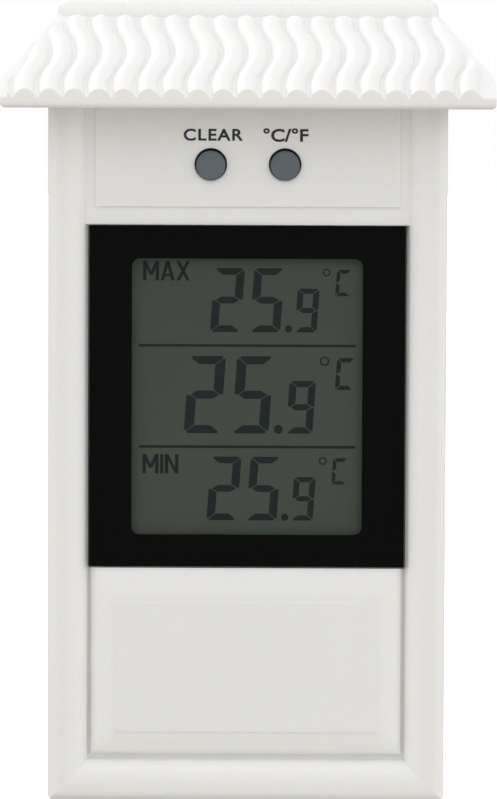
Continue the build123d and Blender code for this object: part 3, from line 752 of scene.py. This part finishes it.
# Each label's button, its shift to the right of it, its width and height, and its letter spacing.
labels = (
    ("label_clear", "CLEAR", "clear_button", 0.4 * mm, (9.6 * mm, 1.95 * mm), 1.12),
    ("label_unit", "\u00b0C/\u00b0F", "unit_button", 0.1 * mm, (7.3 * mm, 2.2 * mm), 1.0),
)
for name, letters, button, shift, size, spacing in labels:
    low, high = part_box(button)
    centre = ((low.x + high.x) / 2 + shift, (low.z + high.z) / 2 + label_rise)
    piece = word(name, letters, size, centre, panel_face, ink_thickness, pad_ink, spacing)
    print(name, "made with", len(piece.data.polygons), "faces")

# %% [markdown]
# ## Floor and light
# The product hangs on a wall, and its battery door slides down past the base, so the plain white
# floor lies just under the door's lowest place. The floor glows a little of its own, as a light
# table does, so that nothing grey creeps in beside the case. Most of the light comes from the
# room, a soft dome that is brightest round the horizon, with a dark cloth round the camera, which
# keeps the glossy window black. Seen directly, the room is plain white. Three soft boxes shape
# the object: one above the front left, a weaker one at the right and one above the back.

# %% Floor
floor_half = 3.0
floor_drop = 26 * mm
corners = [
    (x * floor_half, y * floor_half, -floor_drop) for x, y in ((-1, -1), (1, -1), (1, 1), (-1, 1))
]
floor_mesh = bpy.data.meshes.new("floor")
floor_mesh.from_pydata(corners, [], [(0, 1, 2, 3)])
floor = bpy.data.objects.new("floor", floor_mesh)
scene.collection.objects.link(floor)
floor.visible_glossy = False
floor.visible_diffuse = False
floor.visible_transmission = False
floor_paint, tree = empty_material("white_light_table")
glow = add_node(
    tree,
    "ShaderNodeBsdfPrincipled",
    {
        "Base Color": linear("#F2F2F0"),
        "Roughness": 0.7,
        "Emission Color": linear("#FFFFFF"),
        "Emission Strength": 0.95,
    },
)
add_node(tree, "ShaderNodeOutputMaterial", {"Surface": glow.outputs["BSDF"]})
floor_mesh.materials.append(floor_paint)
print("floor", 2 * floor_half, "m square")

# %% Room
camera_tilt = math.radians(4.5)
room = bpy.data.worlds.new("studio")
scene.world = room
room.use_nodes = True
tree = room.node_tree
tree.nodes.clear()
direction = add_node(tree, "ShaderNodeTexCoord").outputs["Generated"]
way = add_node(tree, "ShaderNodeSeparateXYZ", {"Vector": direction})
share = add_node(
    tree, "ShaderNodeMapRange", {"Value": way.outputs["Z"], "From Min": -1.0, "From Max": 1.0}
)
dome = add_node(tree, "ShaderNodeValToRGB", {"Fac": share.outputs["Result"]})
# The dome's level from straight down, through the horizon at a half, to straight up.
# The card below the object is a warm white, and the ceiling a slightly cool one.
warm = (1.0, 0.97, 0.915)
even = (1.0, 1.0, 1.0)
cool = (0.98, 1.0, 1.03)
bands = (
    (0.0, 0.66, warm),
    (0.4, 1.03, warm),
    (0.5, 1.2, even),
    (0.72, 1.05, even),
    (1.0, 0.92, cool),
)
ramp = dome.color_ramp
while len(ramp.elements) < len(bands):
    ramp.elements.new(0.5)
for step, (position, level, tint) in zip(ramp.elements, bands):
    step.position = position
    step.color = (level * tint[0], level * tint[1], level * tint[2], 1.0)

# The dark cloth round the camera: a cone of the room that the front's flat faces mirror.
cloth_way = (0.0, -math.cos(camera_tilt), -math.sin(camera_tilt))
cloth_inner = math.radians(16)
cloth_outer = math.radians(26)
toward = add_node(tree, "ShaderNodeVectorMath", {0: direction, 1: cloth_way}, operation="DOT_PRODUCT")
cloth = add_node(
    tree,
    "ShaderNodeMapRange",
    {
        "Value": toward.outputs["Value"],
        "From Min": math.cos(cloth_outer),
        "From Max": math.cos(cloth_inner),
        "To Min": 1.0,
        "To Max": 0.09,
    },
    interpolation_type="SMOOTHSTEP",
)

# The room is dimmer low down behind the object, so that the rear of the case keeps its shape.
dim_way = (0.0, 0.9, -0.44)
low_behind = add_node(
    tree, "ShaderNodeVectorMath", {0: direction, 1: dim_way}, operation="DOT_PRODUCT"
)
behind = add_node(
    tree,
    "ShaderNodeMapRange",
    {
        "Value": low_behind.outputs["Value"],
        "From Min": 0.1,
        "From Max": 0.7,
        "To Min": 1.0,
        "To Max": 0.4,
    },
    interpolation_type="SMOOTHSTEP",
)
strength = add_node(
    tree,
    "ShaderNodeMath",
    {0: cloth.outputs["Result"], 1: behind.outputs["Result"]},
    operation="MULTIPLY",
)
soft = add_node(
    tree,
    "ShaderNodeBackground",
    {"Color": dome.outputs["Color"], "Strength": strength.outputs["Value"]},
)
plain = add_node(tree, "ShaderNodeBackground", {"Color": (1, 1, 1, 1), "Strength": 1.0})
seen = add_node(tree, "ShaderNodeLightPath").outputs["Is Camera Ray"]
both = add_node(
    tree, "ShaderNodeMixShader", {0: seen, 1: soft.outputs["Background"], 2: plain.outputs["Background"]}
)
add_node(tree, "ShaderNodeOutputWorld", {"Surface": both.outputs["Shader"]})
print("room ready")

# %% Soft boxes
middle = (cad_low + cad_high) / 2
for name, place, side, power in (
    ("main_soft_box", (-0.25, -0.6, 0.85), 0.7, 0.8),
    ("fill_soft_box", (0.6, -0.7, 0.4), 0.6, 0.6),
    ("rear_soft_box", (-0.45, 0.7, 0.75), 0.5, 2.2),
):
    light = bpy.data.lights.new(name, "AREA")
    light.shape = "SQUARE"
    light.size = side
    light.energy = power
    lamp = bpy.data.objects.new(name, light)
    lamp.location = place
    lamp.rotation_mode = "QUATERNION"
    lamp.rotation_quaternion = (middle - Vector(place)).to_track_quat("-Z", "Y")
    scene.collection.objects.link(lamp)
    print(name, power, "W,", side, "m")

# %% [markdown]
# ## Camera
# A long lens from almost a metre away, a little above the middle of the object, keeps the case
# sides parallel and shows the roof's front slope. The frame's long side
# takes in the whole height. The object leans a quarter of a degree, so the camera rolls by it.

# %% Camera
camera_reach = 0.9
camera_roll = math.radians(0.25)
seen_height = 129.5 * mm
glass_distance = camera_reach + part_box("window_lens")[0].y
aim = Vector((0.25 * mm, 0.0, cad_high.z / 2))
back = Vector((0.0, -math.cos(camera_tilt), math.sin(camera_tilt)))

lens = bpy.data.cameras.new("camera")
lens.sensor_fit = "AUTO"
lens.sensor_width = 36.0
lens.lens = lens.sensor_width * glass_distance / seen_height
lens.clip_start = 0.05
lens.clip_end = 20.0
camera = bpy.data.objects.new("camera", lens)
camera.location = aim + back * camera_reach
camera.rotation_mode = "QUATERNION"
camera.rotation_quaternion = (-back).to_track_quat("-Z", "Y") @ Quaternion((0, 0, 1), camera_roll)
scene.collection.objects.link(camera)
scene.camera = camera
scene.view_settings.view_transform = "Standard"
print("camera lens", round(lens.lens, 1), "mm")
